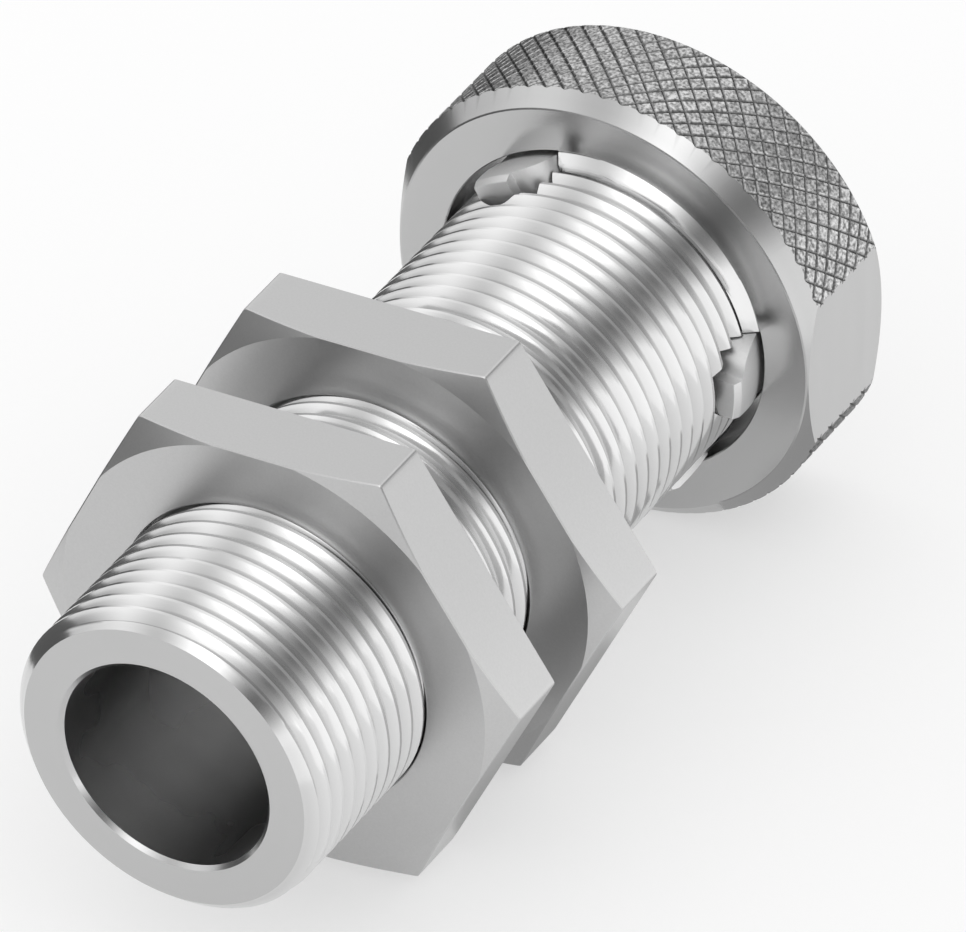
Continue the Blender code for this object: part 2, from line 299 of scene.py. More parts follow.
def clean(thing, sharp_degrees):
    """Merge doubled points, drop slivers, shade smooth and mark the real edges sharp."""
    shape = bmesh.new()
    shape.from_mesh(thing.data)
    bmesh.ops.remove_doubles(shape, verts=shape.verts, dist=WELD)
    bmesh.ops.dissolve_degenerate(shape, edges=shape.edges, dist=WELD)
    loose = [vert for vert in shape.verts if not vert.link_faces]
    bmesh.ops.delete(shape, geom=loose, context="VERTS")
    shape.to_mesh(thing.data)
    open_edges = sum(not edge.is_manifold for edge in shape.edges)
    volume = shape.calc_volume(signed=True)
    shape.free()
    thing.data.shade_smooth()
    thing.data.set_sharp_from_angle(angle=math.radians(sharp_degrees))
    triangles = sum(len(face.vertices) - 2 for face in thing.data.polygons)
    print(f"{thing.name}: {triangles} triangles, {open_edges} open edges, {volume / MM ** 3:.0f} mm3")


print("cutting helpers: joined, carve, clean")

# %% [markdown]
# ## Metal
#
# All five pieces are the same bright steel, finished in different ways. A lathe leaves rings so fine
# that the eye only sees the streaks they pull out of every reflection. A nut's plated faces have a
# faint grain. The knurl is pressed, and its tops stay rough. So there is one group for what a cutter
# leaves, one for grain, and one that paints shade into the bottoms of grooves, where light does not
# reach, by making their colour darker. An image could carry all this, but a pattern on Object
# coordinates needs no unwrapping and no file.

# %% Shader groups
def object_place(tree):
    """Object coordinates, which are the point's own place on the part."""
    return node(tree, "ShaderNodeTexCoord").outputs["Object"]


def axis_distance(tree, split):
    """Distance of a point from the Y axis, from its separate X, Y and Z."""
    square_x = sums(tree, "MULTIPLY", split["X"], split["X"])
    square_z = sums(tree, "MULTIPLY", split["Z"], split["Z"])
    return sums(tree, "SQRT", sums(tree, "ADD", square_x, square_z))


def noise(tree, place, scale, detail):
    """A Noise texture's value at a place."""
    texture = node(tree, "ShaderNodeTexNoise", [("Vector", place), ("Scale", scale), ("Detail", detail)])
    return texture.outputs["Fac"]


def clamped(tree, value):
    """A value held between 0 and 1."""
    return node(tree, "ShaderNodeClamp", [(0, value)]).outputs[0]


def shader_group(name, inputs, outputs):
    """An empty shader group with its sockets; returns the tree, its inputs and its output node."""
    tree = bpy.data.node_groups.new(name, "ShaderNodeTree")
    for socket, value in inputs:
        group_input(tree, socket, "NodeSocketFloat", value)
    for socket in outputs:
        tree.interface.new_socket(socket, in_out="OUTPUT", socket_type="NodeSocketFloat")
    return tree, node(tree, "NodeGroupInput").outputs, node(tree, "NodeGroupOutput").inputs


def cutter_marks_group():
    """Fine rings about the Y axis, with a slow drift in gloss and a finer one in tone."""
    tree, given, made = shader_group(
        "cutter_marks",
        (("Ring Scale", 900.0), ("Drift Scale", 120.0), ("Gloss", 0.25), ("Gloss Drift", 0.06)),
        ("Roughness", "Height", "Tone"),
    )
    place = object_place(tree)
    split = node(tree, "ShaderNodeSeparateXYZ", [(0, place)]).outputs
    ring_place = node(tree, "ShaderNodeCombineXYZ", [("X", axis_distance(tree, split)), ("Y", split["Y"])])
    rings = noise(tree, ring_place.outputs[0], given["Ring Scale"], 2.0)
    drift = noise(tree, place, given["Drift Scale"], 3.0)
    change = sums(tree, "MULTIPLY", sums(tree, "SUBTRACT", drift, 0.5), given["Gloss Drift"])
    tree.links.new(sums(tree, "ADD", given["Gloss"], change), made["Roughness"])
    tree.links.new(rings, made["Height"])
    tree.links.new(sums(tree, "MULTIPLY", sums(tree, "ADD", drift, rings), 0.5), made["Tone"])
    return tree


def grain_group():
    """Fine grain of a pressed or plated face: light and dark grains and a height to match."""
    tree, given, made = shader_group(
        "metal_grain", (("Grain Scale", 4000.0), ("Contrast", 2.0)), ("Tone", "Height"),
    )
    grain = noise(tree, object_place(tree), given["Grain Scale"], 2.0)
    stretched = sums(tree, "MULTIPLY", sums(tree, "SUBTRACT", grain, 0.5), given["Contrast"])
    tree.links.new(clamped(tree, sums(tree, "ADD", stretched, 0.5)), made["Tone"])
    tree.links.new(grain, made["Height"])
    return tree


def groove_shade_group():
    """Mask for painted shade: 1 on the outermost surface, falling to 0 at the bottoms of grooves about the Y
    axis.
    """
    tree, given, made = shader_group(
        "painted_groove_shade", (("Outer Radius", 0.008), ("Depth", 0.0005), ("Softness", 1.0)), ("Open",),
    )
    radius = axis_distance(tree, node(tree, "ShaderNodeSeparateXYZ", [(0, object_place(tree))]).outputs)
    drop = sums(tree, "DIVIDE", sums(tree, "SUBTRACT", given["Outer Radius"], radius), given["Depth"])
    share = sums(tree, "SUBTRACT", 1.0, clamped(tree, drop))
    tree.links.new(sums(tree, "POWER", share, given["Softness"]), made["Open"])
    return tree


cutter_marks = cutter_marks_group()
metal_grain = grain_group()
painted_groove_shade = groove_shade_group()
for group in (cutter_marks, metal_grain, painted_groove_shade):
    print("group:", group.name, [item.name for item in group.interface.items_tree])

# %% [markdown]
# Each finish is the same material with its own values, so one function makes them all. Metal has no
# colour under its reflections: the two greys tint what it mirrors, the gloss spreads it, and a very
# shallow bump breaks it up. The knurl's small faces are seen at every slant, and plain metal would
# flash white where it is seen edge on, so its edge tint is turned down. The bore and the claws get
# lighter greys than the other faces, which is painted light: it lifts the shade deep in the bore and
# the dark that the claws mirror from their slots.

# %% Steel
THREAD_DEPTH = 0.5 * MM
KNURL_DEPTH = 0.06 * MM
CUTTER_DEPTH = 0.02
BUMP_STRENGTH = 0.3
KNURL_EDGE_TINT = 0.25


def grey(value):
    """A grey as a colour with alpha."""
    return (value, value, value, 1.0)


def mixed(tree, share, low, high):
    """Mix two colours by a share; each may be a colour or another node's output."""
    mix = node(tree, "ShaderNodeMix", [("Factor", share), ("A", low), ("B", high)], data_type="RGBA")
    return mix.outputs["Result"]


def steel(name, low_tone, high_tone, gloss, grain=None, groove=None):
    """Bright steel between two greys: rings from the lathe, or grain, and painted shade in the grooves if
    asked.

    grain is (scale, contrast, depth in mm); groove is (outer radius, depth, painted shade tone at the
    bottom).
    """
    material = bpy.data.materials.new(name)
    material.use_nodes = True
    tree = material.node_tree
    shader = tree.nodes["Principled BSDF"]
    shader.inputs["Metallic"].default_value = 1.0
    marks = node(tree, "ShaderNodeGroup", [("Gloss", gloss)], node_tree=cutter_marks).outputs
    tone, height, depth = marks["Tone"], marks["Height"], CUTTER_DEPTH
    if grain:
        scale, contrast, depth = grain
        sizes = [("Grain Scale", scale), ("Contrast", contrast)]
        grains = node(tree, "ShaderNodeGroup", sizes, node_tree=metal_grain).outputs
        tone, height = grains["Tone"], grains["Height"]
    colour = mixed(tree, tone, grey(low_tone), grey(high_tone))
    if groove:
        outer, groove_depth, painted_shade_tone = groove
        sizes = [("Outer Radius", outer), ("Depth", groove_depth)]
        shade = node(tree, "ShaderNodeGroup", sizes, node_tree=painted_groove_shade)
        # Painted shade: the colour turns darker towards the bottoms of grooves.
        colour = mixed(tree, shade.outputs["Open"], grey(painted_shade_tone), colour)
    sizes = [("Strength", BUMP_STRENGTH), ("Distance", depth * MM), ("Height", height)]
    bump = node(tree, "ShaderNodeBump", sizes)
    tree.links.new(colour, shader.inputs["Base Color"])
    tree.links.new(marks["Roughness"], shader.inputs["Roughness"])
    tree.links.new(bump.outputs["Normal"], shader.inputs["Normal"])
    print("material:", name)
    return material


# Painted shade: the thread's roots are coloured darker, down to 0.64.
thread_steel = steel("thread_steel", 0.70, 0.78, gloss=0.15, groove=(CREST_RADIUS, THREAD_DEPTH, 0.64))
# Painted light: the bore's greys are lighter than the turned faces', so the inside of the bore looks less
# shaded.
bore_steel_painted_light = steel("bore_steel_painted_light", 0.66, 0.74, gloss=0.28)
nut_steel = steel("nut_steel", 0.53, 0.59, gloss=0.33, grain=(9000.0, 1.0, 0.004))
turned_steel = steel("turned_steel", 0.50, 0.58, gloss=0.22)
# Painted shade: the knurl's grooves are coloured darker, down to 0.15.
knurl_steel = steel(
    "knurl_steel", 0.20, 0.76, gloss=0.34, grain=(6000.0, 3.2, 0.06), groove=(RIM_RADIUS, KNURL_DEPTH, 0.15),
)
knurl_shader = knurl_steel.node_tree.nodes["Principled BSDF"]
knurl_shader.inputs["Specular Tint"].default_value = grey(KNURL_EDGE_TINT)
# Painted light: the claws' greys are lighter to offset the dark they mirror from their slots.
claw_steel_painted_light = steel("claw_steel_painted_light", 0.80, 0.86, gloss=0.45, grain=(7000.0, 1.0, 0.006))

# %% [markdown]
# ## The thread
#
# The sleeve carries a right-hand screw thread of 1 mm pitch from end to end. It could be a tooth swept
# by a Screw modifier, but its ends would need trimming. A thread is really a grid that knows two things:
# where it is round the axis, and where it is in the tooth. So Geometry Nodes lays a flat grid, gives
# each point an angle and a height in the tooth, and slides the grid along by one pitch in each turn,
# which makes the rows climb as a helix. At both ends the radius is held under the chamfer's cone and
# the point under the end face, so the tooth dies away as on a turned part.

# %% The thread's tree
THREAD_PITCH = 1.0 * MM
END_CHAMFER = 0.65 * MM
STEPS_ROUND = 96
STEPS_TOOTH = 12
SPARE_TEETH = 3
THREAD_WELD = 0.001 * MM
THREAD_SIZES = {
    "Crest Radius": CREST_RADIUS, "Depth": THREAD_DEPTH, "Pitch": THREAD_PITCH, "Front": OPEN_END,
    "Rear": SLEEVE_REAR, "Chamfer": END_CHAMFER, "Tooth Power": 1.2, "Crest Share": 1 / 6, "Phase": 0.24,
}
THREAD_COUNTS = {
    "Steps Round": STEPS_ROUND, "Steps Tooth": STEPS_TOOTH,
    "Rows": (round((SLEEVE_REAR - OPEN_END) / THREAD_PITCH) + SPARE_TEETH) * STEPS_TOOTH + 1,
}


def tooth_drop(tree, given, tooth):
    """How far a point lies below the crest: 0 on its flat top, the whole depth in the root."""
    swing = sums(tree, "SUBTRACT", sums(tree, "MULTIPLY", sums(tree, "FRACT", tooth), 2.0), 1.0)
    past_crest = sums(tree, "SUBTRACT", sums(tree, "ABSOLUTE", swing), given["Crest Share"])
    whole_flank = sums(tree, "SUBTRACT", 1.0, given["Crest Share"])
    flank = sums(tree, "DIVIDE", sums(tree, "MAXIMUM", past_crest, 0.0), whole_flank)
    return sums(tree, "MULTIPLY", sums(tree, "POWER", flank, given["Tooth Power"]), given["Depth"])


def cone_radius(tree, given, along):
    """Reach of the chamfer's cone at the nearer end."""
    from_front = sums(tree, "SUBTRACT", along, given["Front"])
    from_rear = sums(tree, "SUBTRACT", given["Rear"], along)
    from_end = sums(tree, "MAXIMUM", sums(tree, "MINIMUM", from_front, from_rear), 0.0)
    face_radius = sums(tree, "SUBTRACT", given["Crest Radius"], given["Chamfer"])
    return sums(tree, "ADD", face_radius, from_end)


def thread_tree():
    """The sleeve's outside: columns of a grid go round the axis, and its rows climb."""
    tree, given = geometry_tree("screw_thread", THREAD_SIZES, THREAD_COUNTS)
    columns = sums(tree, "ADD", given["Steps Round"], 1.0)
    grid = node(
        tree, "GeometryNodeMeshGrid",
        [("Size X", 1.0), ("Size Y", 1.0), ("Vertices X", columns), ("Vertices Y", given["Rows"])],
    )
    place = split_position(tree)
    round_share = sums(tree, "ADD", place["X"], 0.5)
    long_share = sums(tree, "ADD", place["Y"], 0.5)
    angle = sums(tree, "MULTIPLY", round_share, math.tau)
    row = sums(tree, "MULTIPLY", long_share, sums(tree, "SUBTRACT", given["Rows"], 1.0))
    tooth = sums(tree, "DIVIDE", row, given["Steps Tooth"])
    climb = sums(tree, "SUBTRACT", sums(tree, "SUBTRACT", tooth, round_share), 0.5)
    climb = sums(tree, "ADD", climb, given["Phase"])
    along = sums(tree, "ADD", given["Front"], sums(tree, "MULTIPLY", climb, given["Pitch"]))
    tooth_radius = sums(tree, "SUBTRACT", given["Crest Radius"], tooth_drop(tree, given, tooth))
    radius = sums(tree, "MINIMUM", tooth_radius, cone_radius(tree, given, along))
    held = sums(tree, "MINIMUM", sums(tree, "MAXIMUM", along, given["Front"]), given["Rear"])
    point = point_around(tree, radius, angle, held)
    bent = node(tree, "GeometryNodeSetPosition", [("Geometry", grid.outputs["Mesh"]), ("Position", point)])
    finish_tree(tree, bent.outputs[0], given["Metal"], THREAD_WELD)
    return tree


thread_nodes = thread_tree()
print("tree:", thread_nodes.name, len(thread_nodes.nodes), "nodes")

# %% [markdown]
# ## The sleeve
#
# The inside of the sleeve is simple turning work: a bore, a wider counterbore at the rear for the claw
# sleeve, and two end faces. It is turned with the same number of steps as the thread, so its rims meet
# the thread's rims point for point and close the solid, which a Boolean of two round shapes would not
# do so neatly. Between the claws of each pair the last turn of the thread widens towards the knurled
# nut, so the solid is stretched there a little.

# %% The sleeve's skin
BORE_RADIUS = 5.35 * MM
BORE_CHAMFER = 0.2 * MM
COUNTERBORE_RADIUS = 6.35 * MM
COUNTERBORE_FRONT = claw_low.y - 0.8 * MM
CLAW_MIDLINE = math.radians(55.15)
CLAW_SPREAD = math.radians(60.0)
RUN_OUT_RADIUS = 8.6 * MM
RUN_OUT_START = KNURLED_FRONT - 0.28 * MM
RUN_OUT_SLOPE = math.tan(math.radians(50.0))
RUN_OUT_END = KNURLED_FRONT + 2.2 * MM
RIM_WELD = 0.002 * MM
SLIVER = 0.001 * MM
THREAD_SLOT, TURNED_SLOT, BORE_SLOT = 0, 1, 2


def run_out(shape):
    """Between the claws of each pair the thread's last turn widens into the nut's counterbore."""
    for vert in shape.verts:
        turn = math.atan2(vert.co.z, vert.co.x) - CLAW_MIDLINE
        aside = abs((turn + math.pi / 2) % math.pi - math.pi / 2)
        if aside > CLAW_SPREAD or not RUN_OUT_START < vert.co.y < RUN_OUT_END:
            continue
        reach = min(CREST_RADIUS + (vert.co.y - RUN_OUT_START) * RUN_OUT_SLOPE, RUN_OUT_RADIUS)
        stretch = max(reach / math.hypot(vert.co.x, vert.co.z), 1.0)
        vert.co.x *= stretch
        vert.co.z *= stretch


def close_sleeve(thread):
    """The thread's skin, closed by the end faces, the bore and the counterbore."""
    face_radius = CREST_RADIUS - END_CHAMFER
    profile = [
        (face_radius, OPEN_END),
        (BORE_RADIUS + BORE_CHAMFER, OPEN_END),
        (BORE_RADIUS, OPEN_END + BORE_CHAMFER),
        (BORE_RADIUS, COUNTERBORE_FRONT),
        (COUNTERBORE_RADIUS, COUNTERBORE_FRONT),
        (COUNTERBORE_RADIUS, SLEEVE_REAR),
        (face_radius, SLEEVE_REAR),
    ]
    metals = [TURNED_SLOT, TURNED_SLOT, BORE_SLOT, BORE_SLOT, BORE_SLOT, TURNED_SLOT]
    shape = bmesh.new()
    shape.from_mesh(thread.data)
    for face in shape.faces:
        face.material_index = THREAD_SLOT
    run_out(shape)
    skin(shape, columns_around(shape, full_turn(STEPS_ROUND), lambda angle: profile), metals)
    bmesh.ops.remove_doubles(shape, verts=shape.verts, dist=RIM_WELD)
    bmesh.ops.dissolve_degenerate(shape, edges=shape.edges, dist=SLIVER)
    bmesh.ops.recalc_face_normals(shape, faces=shape.faces)
    bpy.data.objects.remove(thread)
    return object_from("threaded_tube", shape, thread_steel, turned_steel, bore_steel_painted_light)


sleeve = close_sleeve(
    apply_tree("thread", thread_nodes, {**THREAD_SIZES, **THREAD_COUNTS, "Metal": thread_steel})
)
print("sleeve before milling:", len(sleeve.data.polygons), "faces")

# %% [markdown]
# Four slots are milled through the rear of the sleeve, straight in from the end, with the round front
# that an end mill leaves. They stand in two pairs, each the mirror image of the other. A Boolean with
# four prisms cuts them in one go, and the sides take the look of a cut face from the cutter.

# %% The slots
SLOT_HALF_WIDTH = 1.93 * MM
SLOT_END = KNURLED_FRONT - 3.15 * MM
SLOT_ARC_STEPS = 24
SLOT_FLOOR = BORE_RADIUS - 2 * MM
SLEEVE_SHARP = 38.0


def claw_directions():
    """Each claw's angle, and +1 or -1 for the side on which the mirror plane lies."""
    return [
        (CLAW_MIDLINE + half_turn + side * CLAW_SPREAD, side)
        for half_turn in (0.0, math.pi) for side in (1, -1)
    ]


def claw_axes(angle, side):
    """Outwards, across towards the mirror plane, and forwards, for one claw."""
    outwards = Vector((math.cos(angle), 0.0, math.sin(angle)))
    across = side * Vector((math.sin(angle), 0.0, -math.cos(angle)))
    return outwards, across, Vector((0.0, -1.0, 0.0))


def slot_cutter(number, angle, side):
    """The way of one end mill, from behind the sleeve to the slot's round front."""
    outwards, across, forwards = claw_axes(angle, side)
    behind = forwards * (-SLEEVE_REAR - MM)
    centre = -SLOT_END - SLOT_HALF_WIDTH
    outline = [across * SLOT_HALF_WIDTH + behind]
    for i in range(SLOT_ARC_STEPS + 1):
        turn = math.pi * i / SLOT_ARC_STEPS
        place = across * SLOT_HALF_WIDTH * math.cos(turn)
        outline.append(place + forwards * (centre + SLOT_HALF_WIDTH * math.sin(turn)))
    outline.append(-across * SLOT_HALF_WIDTH + behind)
    return prism(f"slot_{number}", outline, outwards, SLOT_FLOOR, CREST_RADIUS + MM)


cutters = [slot_cutter(number, *direction) for number, direction in enumerate(claw_directions())]
carve(sleeve, joined("slots", cutters, turned_steel), "DIFFERENCE")
clean(sleeve, SLEEVE_SHARP)
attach(sleeve, "sleeve")
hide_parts("threaded_sleeve")

# %% [markdown]
# ## The lock nuts
#
# A flat hexagon nut is a slice of hexagon bar whose front corners are turned off at a shallow angle, so
# the chamfer meets each flat in a curve. A hexagon cut by a cone would give it too, but with knife
# edges. Here the nut is laid out column by column round the axis. Each column runs from the bore over
# the face, down the chamfer as far as the bar reaches at that angle, and back along the flat, with a
# tiny break on every edge. Extra columns stand close to the six corners and keep them crisp.

# %% Lock nuts
NUT_FACE_RADIUS = 11.13 * MM
NUT_CHAMFER = math.radians(20.0)
NUT_COUNTERSINK = 0.08 * MM
NUT_BORE_RADIUS = CREST_RADIUS + 0.02 * MM
EDGE_BREAK = 0.06 * MM
CORNER_POWER = 250.0
CORNER_STEPS = (0.12, 0.3, 0.55)
NUT_SHARP = 15.0


def bar_radius(angle, half_flats):
    """Reach of a hexagon bar at an angle, with its long edges very slightly rounded."""
    total = 0.0
    for k in range(6):
        facing = math.cos(angle - math.radians(30 + 60 * k))
        if facing > 0.0:
            total += facing ** CORNER_POWER
    return half_flats * total ** (-1 / CORNER_POWER)


def nut_column(angle, front, rear, half_flats):
    """One column of a nut, as (radius, along) points."""
    reach = bar_radius(angle, half_flats)
    edge = reach - EDGE_BREAK
    face_edge = min(NUT_FACE_RADIUS, edge)
    fall = (edge - face_edge) * math.tan(NUT_CHAMFER)
    wide = NUT_BORE_RADIUS + NUT_COUNTERSINK
    return [
        (NUT_BORE_RADIUS, front + NUT_COUNTERSINK), (wide, front), (face_edge, front), (edge, front + fall),
        (reach, front + fall + EDGE_BREAK), (reach, rear - EDGE_BREAK), (edge, rear), (wide, rear),
        (NUT_BORE_RADIUS, rear - NUT_COUNTERSINK),
    ]


def make_lock_nut(name, cad_node):
    """A nut as wide and as thick as its solid."""
    low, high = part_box(cad_node)
    degrees = set(range(360))
    for k in range(6):
        degrees |= {(60 * k + side * step) % 360 for side in (1, -1) for step in CORNER_STEPS}
    angles = [math.radians(degree) for degree in sorted(degrees)]
    shape = bmesh.new()
    skin(shape, columns_around(shape, angles, lambda angle: nut_column(angle, low.y, high.y, high.z)))
    bmesh.ops.recalc_face_normals(shape, faces=shape.faces)
    nut = object_from(name, shape, nut_steel)
    clean(nut, NUT_SHARP)
    return nut


for name, cad_node, body in (
    ("front_hexagon_nut", "front_lock_nut", "front_nut"),
    ("rear_hexagon_nut", "rear_lock_nut", "rear_nut"),
):
    nut = make_lock_nut(name, cad_node)
    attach(nut, body)
    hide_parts(cad_node)

# %% [markdown]
# ## The knurl
#
# A cross knurl is one diamond, pressed hundreds of times. A bump in the material would fake it, but the
# rim's outline would stay smooth. So Geometry Nodes makes the diamond once, as a tile whose edges are
# the bottoms of the grooves. It sets the tile out on a flat sheet in two staggered arrays, and then
# wraps the sheet round the axis. The instances are made real before that, because only a real mesh can
# be bent, and the tiles are merged where they meet.

# %% The knurl's tree
KNURL_STARTS = 72
KNURL_PITCH = math.tau * RIM_RADIUS / KNURL_STARTS
KNURL_WELD = 0.005 * MM
KNURL_SIZES = {
    "Radius": RIM_RADIUS, "Pitch": KNURL_PITCH, "Depth": KNURL_DEPTH, "Groove": 0.13,
    "Middle": KNURLED_MIDDLE - KNURL_PITCH / 4,
}
KNURL_COUNTS = {"Starts": KNURL_STARTS, "Rows": 9}
TILE_POINTS = 4
TILE_RIM = 0.3


def knurl_stud(tree, given):
    """One diamond: a tile on its corner, whose outer points, past TILE_RIM, lie in the groove."""
    tile = node(
        tree, "GeometryNodeMeshGrid",
        [("Size X", 1.0), ("Size Y", 1.0), ("Vertices X", TILE_POINTS), ("Vertices Y", TILE_POINTS)],
    )
    place = split_position(tree)
    inner = sums(tree, "SUBTRACT", 0.5, given["Groove"])
    moved = []
    outer = []
    for axis in ("X", "Y"):
        outside = sums(tree, "GREATER_THAN", sums(tree, "ABSOLUTE", place[axis]), TILE_RIM)
        reach = sums(tree, "ADD", inner, sums(tree, "MULTIPLY", outside, given["Groove"]))
        moved.append(sums(tree, "MULTIPLY", sums(tree, "SIGN", place[axis]), reach))
        outer.append(outside)
    half = sums(tree, "MULTIPLY", given["Pitch"], 0.5)
    sink = sums(tree, "MULTIPLY", given["Depth"], -1.0)
    diamond = node(
        tree, "ShaderNodeCombineXYZ",
        [
            ("X", sums(tree, "MULTIPLY", sums(tree, "ADD", *moved), half)),
            ("Y", sums(tree, "MULTIPLY", sums(tree, "SUBTRACT", *moved), half)),
            ("Z", sums(tree, "MULTIPLY", sums(tree, "MAXIMUM", *outer), sink)),
        ],
    )
    placed = [("Geometry", tile.outputs["Mesh"]), ("Position", diamond.outputs[0])]
    return node(tree, "GeometryNodeSetPosition", placed).outputs[0]


def knurl_sheet(tree, given, stud, shift):
    """The diamond set out in rows and columns, moved on by a share of the pitch."""
    last_start = sums(tree, "SUBTRACT", given["Starts"], 1.0)
    last_row = sums(tree, "SUBTRACT", given["Rows"], 1.0)
    array = node(
        tree, "GeometryNodeMeshGrid",
        [
            ("Size X", sums(tree, "MULTIPLY", given["Pitch"], last_start)),
            ("Size Y", sums(tree, "MULTIPLY", given["Pitch"], last_row)),
            ("Vertices X", given["Starts"]), ("Vertices Y", given["Rows"]),
        ],
    )
    step = sums(tree, "MULTIPLY", given["Pitch"], shift)
    offset = node(tree, "ShaderNodeCombineXYZ", [("X", step), ("Y", step)]).outputs[0]
    shifted = node(tree, "GeometryNodeSetPosition", [("Geometry", array.outputs["Mesh"]), ("Offset", offset)])
    placed = [("Points", shifted.outputs[0]), ("Instance", stud)]
    return node(tree, "GeometryNodeInstanceOnPoints", placed).outputs[0]


def knurl_tree():
    """Both sheets of diamonds, wrapped round the axis."""
    tree, given = geometry_tree("cross_knurl", KNURL_SIZES, KNURL_COUNTS)
    stud = knurl_stud(tree, given)
    both = node(tree, "GeometryNodeJoinGeometry")
    for shift in (0.0, 0.5):
        tree.links.new(knurl_sheet(tree, given, stud, shift), both.inputs[0])
    real = node(tree, "GeometryNodeRealizeInstances", [("Geometry", both.outputs[0])])
    flat = split_position(tree)
    turns = sums(tree, "DIVIDE", flat["X"], sums(tree, "MULTIPLY", given["Pitch"], given["Starts"]))
    angle = sums(tree, "MULTIPLY", turns, math.tau)
    radius = sums(tree, "ADD", given["Radius"], flat["Z"])
    point = point_around(tree, radius, angle, sums(tree, "ADD", flat["Y"], given["Middle"]))
    bent = node(tree, "GeometryNodeSetPosition", [("Geometry", real.outputs[0]), ("Position", point)])
    finish_tree(tree, bent.outputs[0], given["Metal"], KNURL_WELD)
    return tree


knurl_nodes = knurl_tree()
print("tree:", knurl_nodes.name, len(knurl_nodes.nodes), "nodes")

# %% [markdown]
# ## The knurled nut
#
# The nut is made as it would be in a workshop: a length of knurled bar is turned, which cuts the
# chamfers cleanly through the knurl, and then two wrench flats are milled. In Blender the bar is the
# wrapped sheet, closed at both ends. Its common part with a turned blank is the nut, and each face keeps
# the metal of the solid it comes from, so the rim stays knurled and the chamfers are bright.

# %% The knurled nut's body
KNURLED_CHAMFER = 0.78 * MM
KNURLED_FLATS = 22.0 * MM
KNURLED_COUNTERSINK = 0.25 * MM
FACE_BORE_RADIUS = 8.64 * MM
FACE_BORE_DEPTH = 2.6 * MM
BAR_REACH = 8 * MM
BLANK_SPARE = 0.5 * MM
ROUND_STEPS = 180
KNURL_SHARP = 12.0


def close_ends(shape):
    """Close a ragged tube with a flat disc at each end, away from the nut's middle."""
    rim = [edge for edge in shape.edges if edge.is_boundary]
    grown = bmesh.ops.extrude_edge_only(shape, edges=rim)
    new_edges = [item for item in grown["geom"] if isinstance(item, bmesh.types.BMEdge)]
    for vert in (item for item in grown["geom"] if isinstance(item, bmesh.types.BMVert)):
        vert.co.y = KNURLED_MIDDLE + math.copysign(BAR_REACH, vert.co.y - KNURLED_MIDDLE)
    bmesh.ops.edgeloop_fill(shape, edges=[edge for edge in new_edges if edge.is_boundary])


def knurled_bar():
    """The wrapped knurl as a closed bar, longer than the nut."""
    bar = apply_tree("knurl", knurl_nodes, {**KNURL_SIZES, **KNURL_COUNTS, "Metal": knurl_steel})
    shape = bmesh.new()
    shape.from_mesh(bar.data)
    close_ends(shape)
    bmesh.ops.recalc_face_normals(shape, faces=shape.faces)
    shape.to_mesh(bar.data)
    shape.free()
    bar.name = "knurled_ring"
    return bar


def nut_blank():
    """What the lathe leaves: faces, chamfers, bore and the wide bore in front, past the knurl's reach."""
    face_radius = RIM_RADIUS - KNURLED_CHAMFER
    wide = RIM_RADIUS + BLANK_SPARE
    profile = [
        (FACE_BORE_RADIUS, KNURLED_FRONT + EDGE_BREAK),
        (FACE_BORE_RADIUS + EDGE_BREAK, KNURLED_FRONT),
        (face_radius - EDGE_BREAK, KNURLED_FRONT),
        (face_radius + EDGE_BREAK / 2, KNURLED_FRONT + EDGE_BREAK / 2),
        (wide, KNURLED_FRONT + wide - face_radius),
        (wide, KNURLED_REAR - (wide - face_radius)),
        (face_radius, KNURLED_REAR),
        (NUT_BORE_RADIUS + KNURLED_COUNTERSINK, KNURLED_REAR),
        (NUT_BORE_RADIUS, KNURLED_REAR - KNURLED_COUNTERSINK),
        (NUT_BORE_RADIUS, KNURLED_FRONT + FACE_BORE_DEPTH),
        (FACE_BORE_RADIUS, KNURLED_FRONT + FACE_BORE_DEPTH),
    ]
    return turned("blank", profile, ROUND_STEPS, turned_steel)


def flat_cutter(number):
    """The way of the mill along one wrench flat; the two flats face opposite ways."""
    angle = CLAW_MIDLINE - CLAW_SPREAD + number * math.pi
    outwards = Vector((math.cos(angle), 0.0, math.sin(angle)))
    across = Vector((-math.sin(angle), 0.0, math.cos(angle)))
    outline = [outwards * (KNURLED_FLATS / 2) + across * side * RIM_RADIUS for side in (-1, 1)]
    outline += [outwards * (RIM_RADIUS + MM) + across * side * RIM_RADIUS for side in (1, -1)]
    return prism(f"flat_{number}", outline, Vector((0, 1, 0)), KNURLED_FRONT - MM, KNURLED_REAR + MM)


knurled_nut = knurled_bar()
carve(knurled_nut, nut_blank(), "INTERSECT")
carve(knurled_nut, joined("flats", [flat_cutter(0), flat_cutter(1)], turned_steel), "DIFFERENCE")
clean(knurled_nut, KNURL_SHARP)
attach(knurled_nut, "clamp_nut")
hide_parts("knurled_nut")

# %% [markdown]
# ## The claw sleeve
#
# Each claw is a straight block that looks out of its slot in front of the knurled nut. Seen from
# outside it is a tongue with one rounded shoulder, cut square at its nose. So the block is drawn in that
# view, raised outwards, and then cut to a turned blank that gives it its round back, its lean and the
# bevel at its nose. Sculpting would give softer forms than a cutter does. A short tube inside the
# threaded sleeve carries all four.

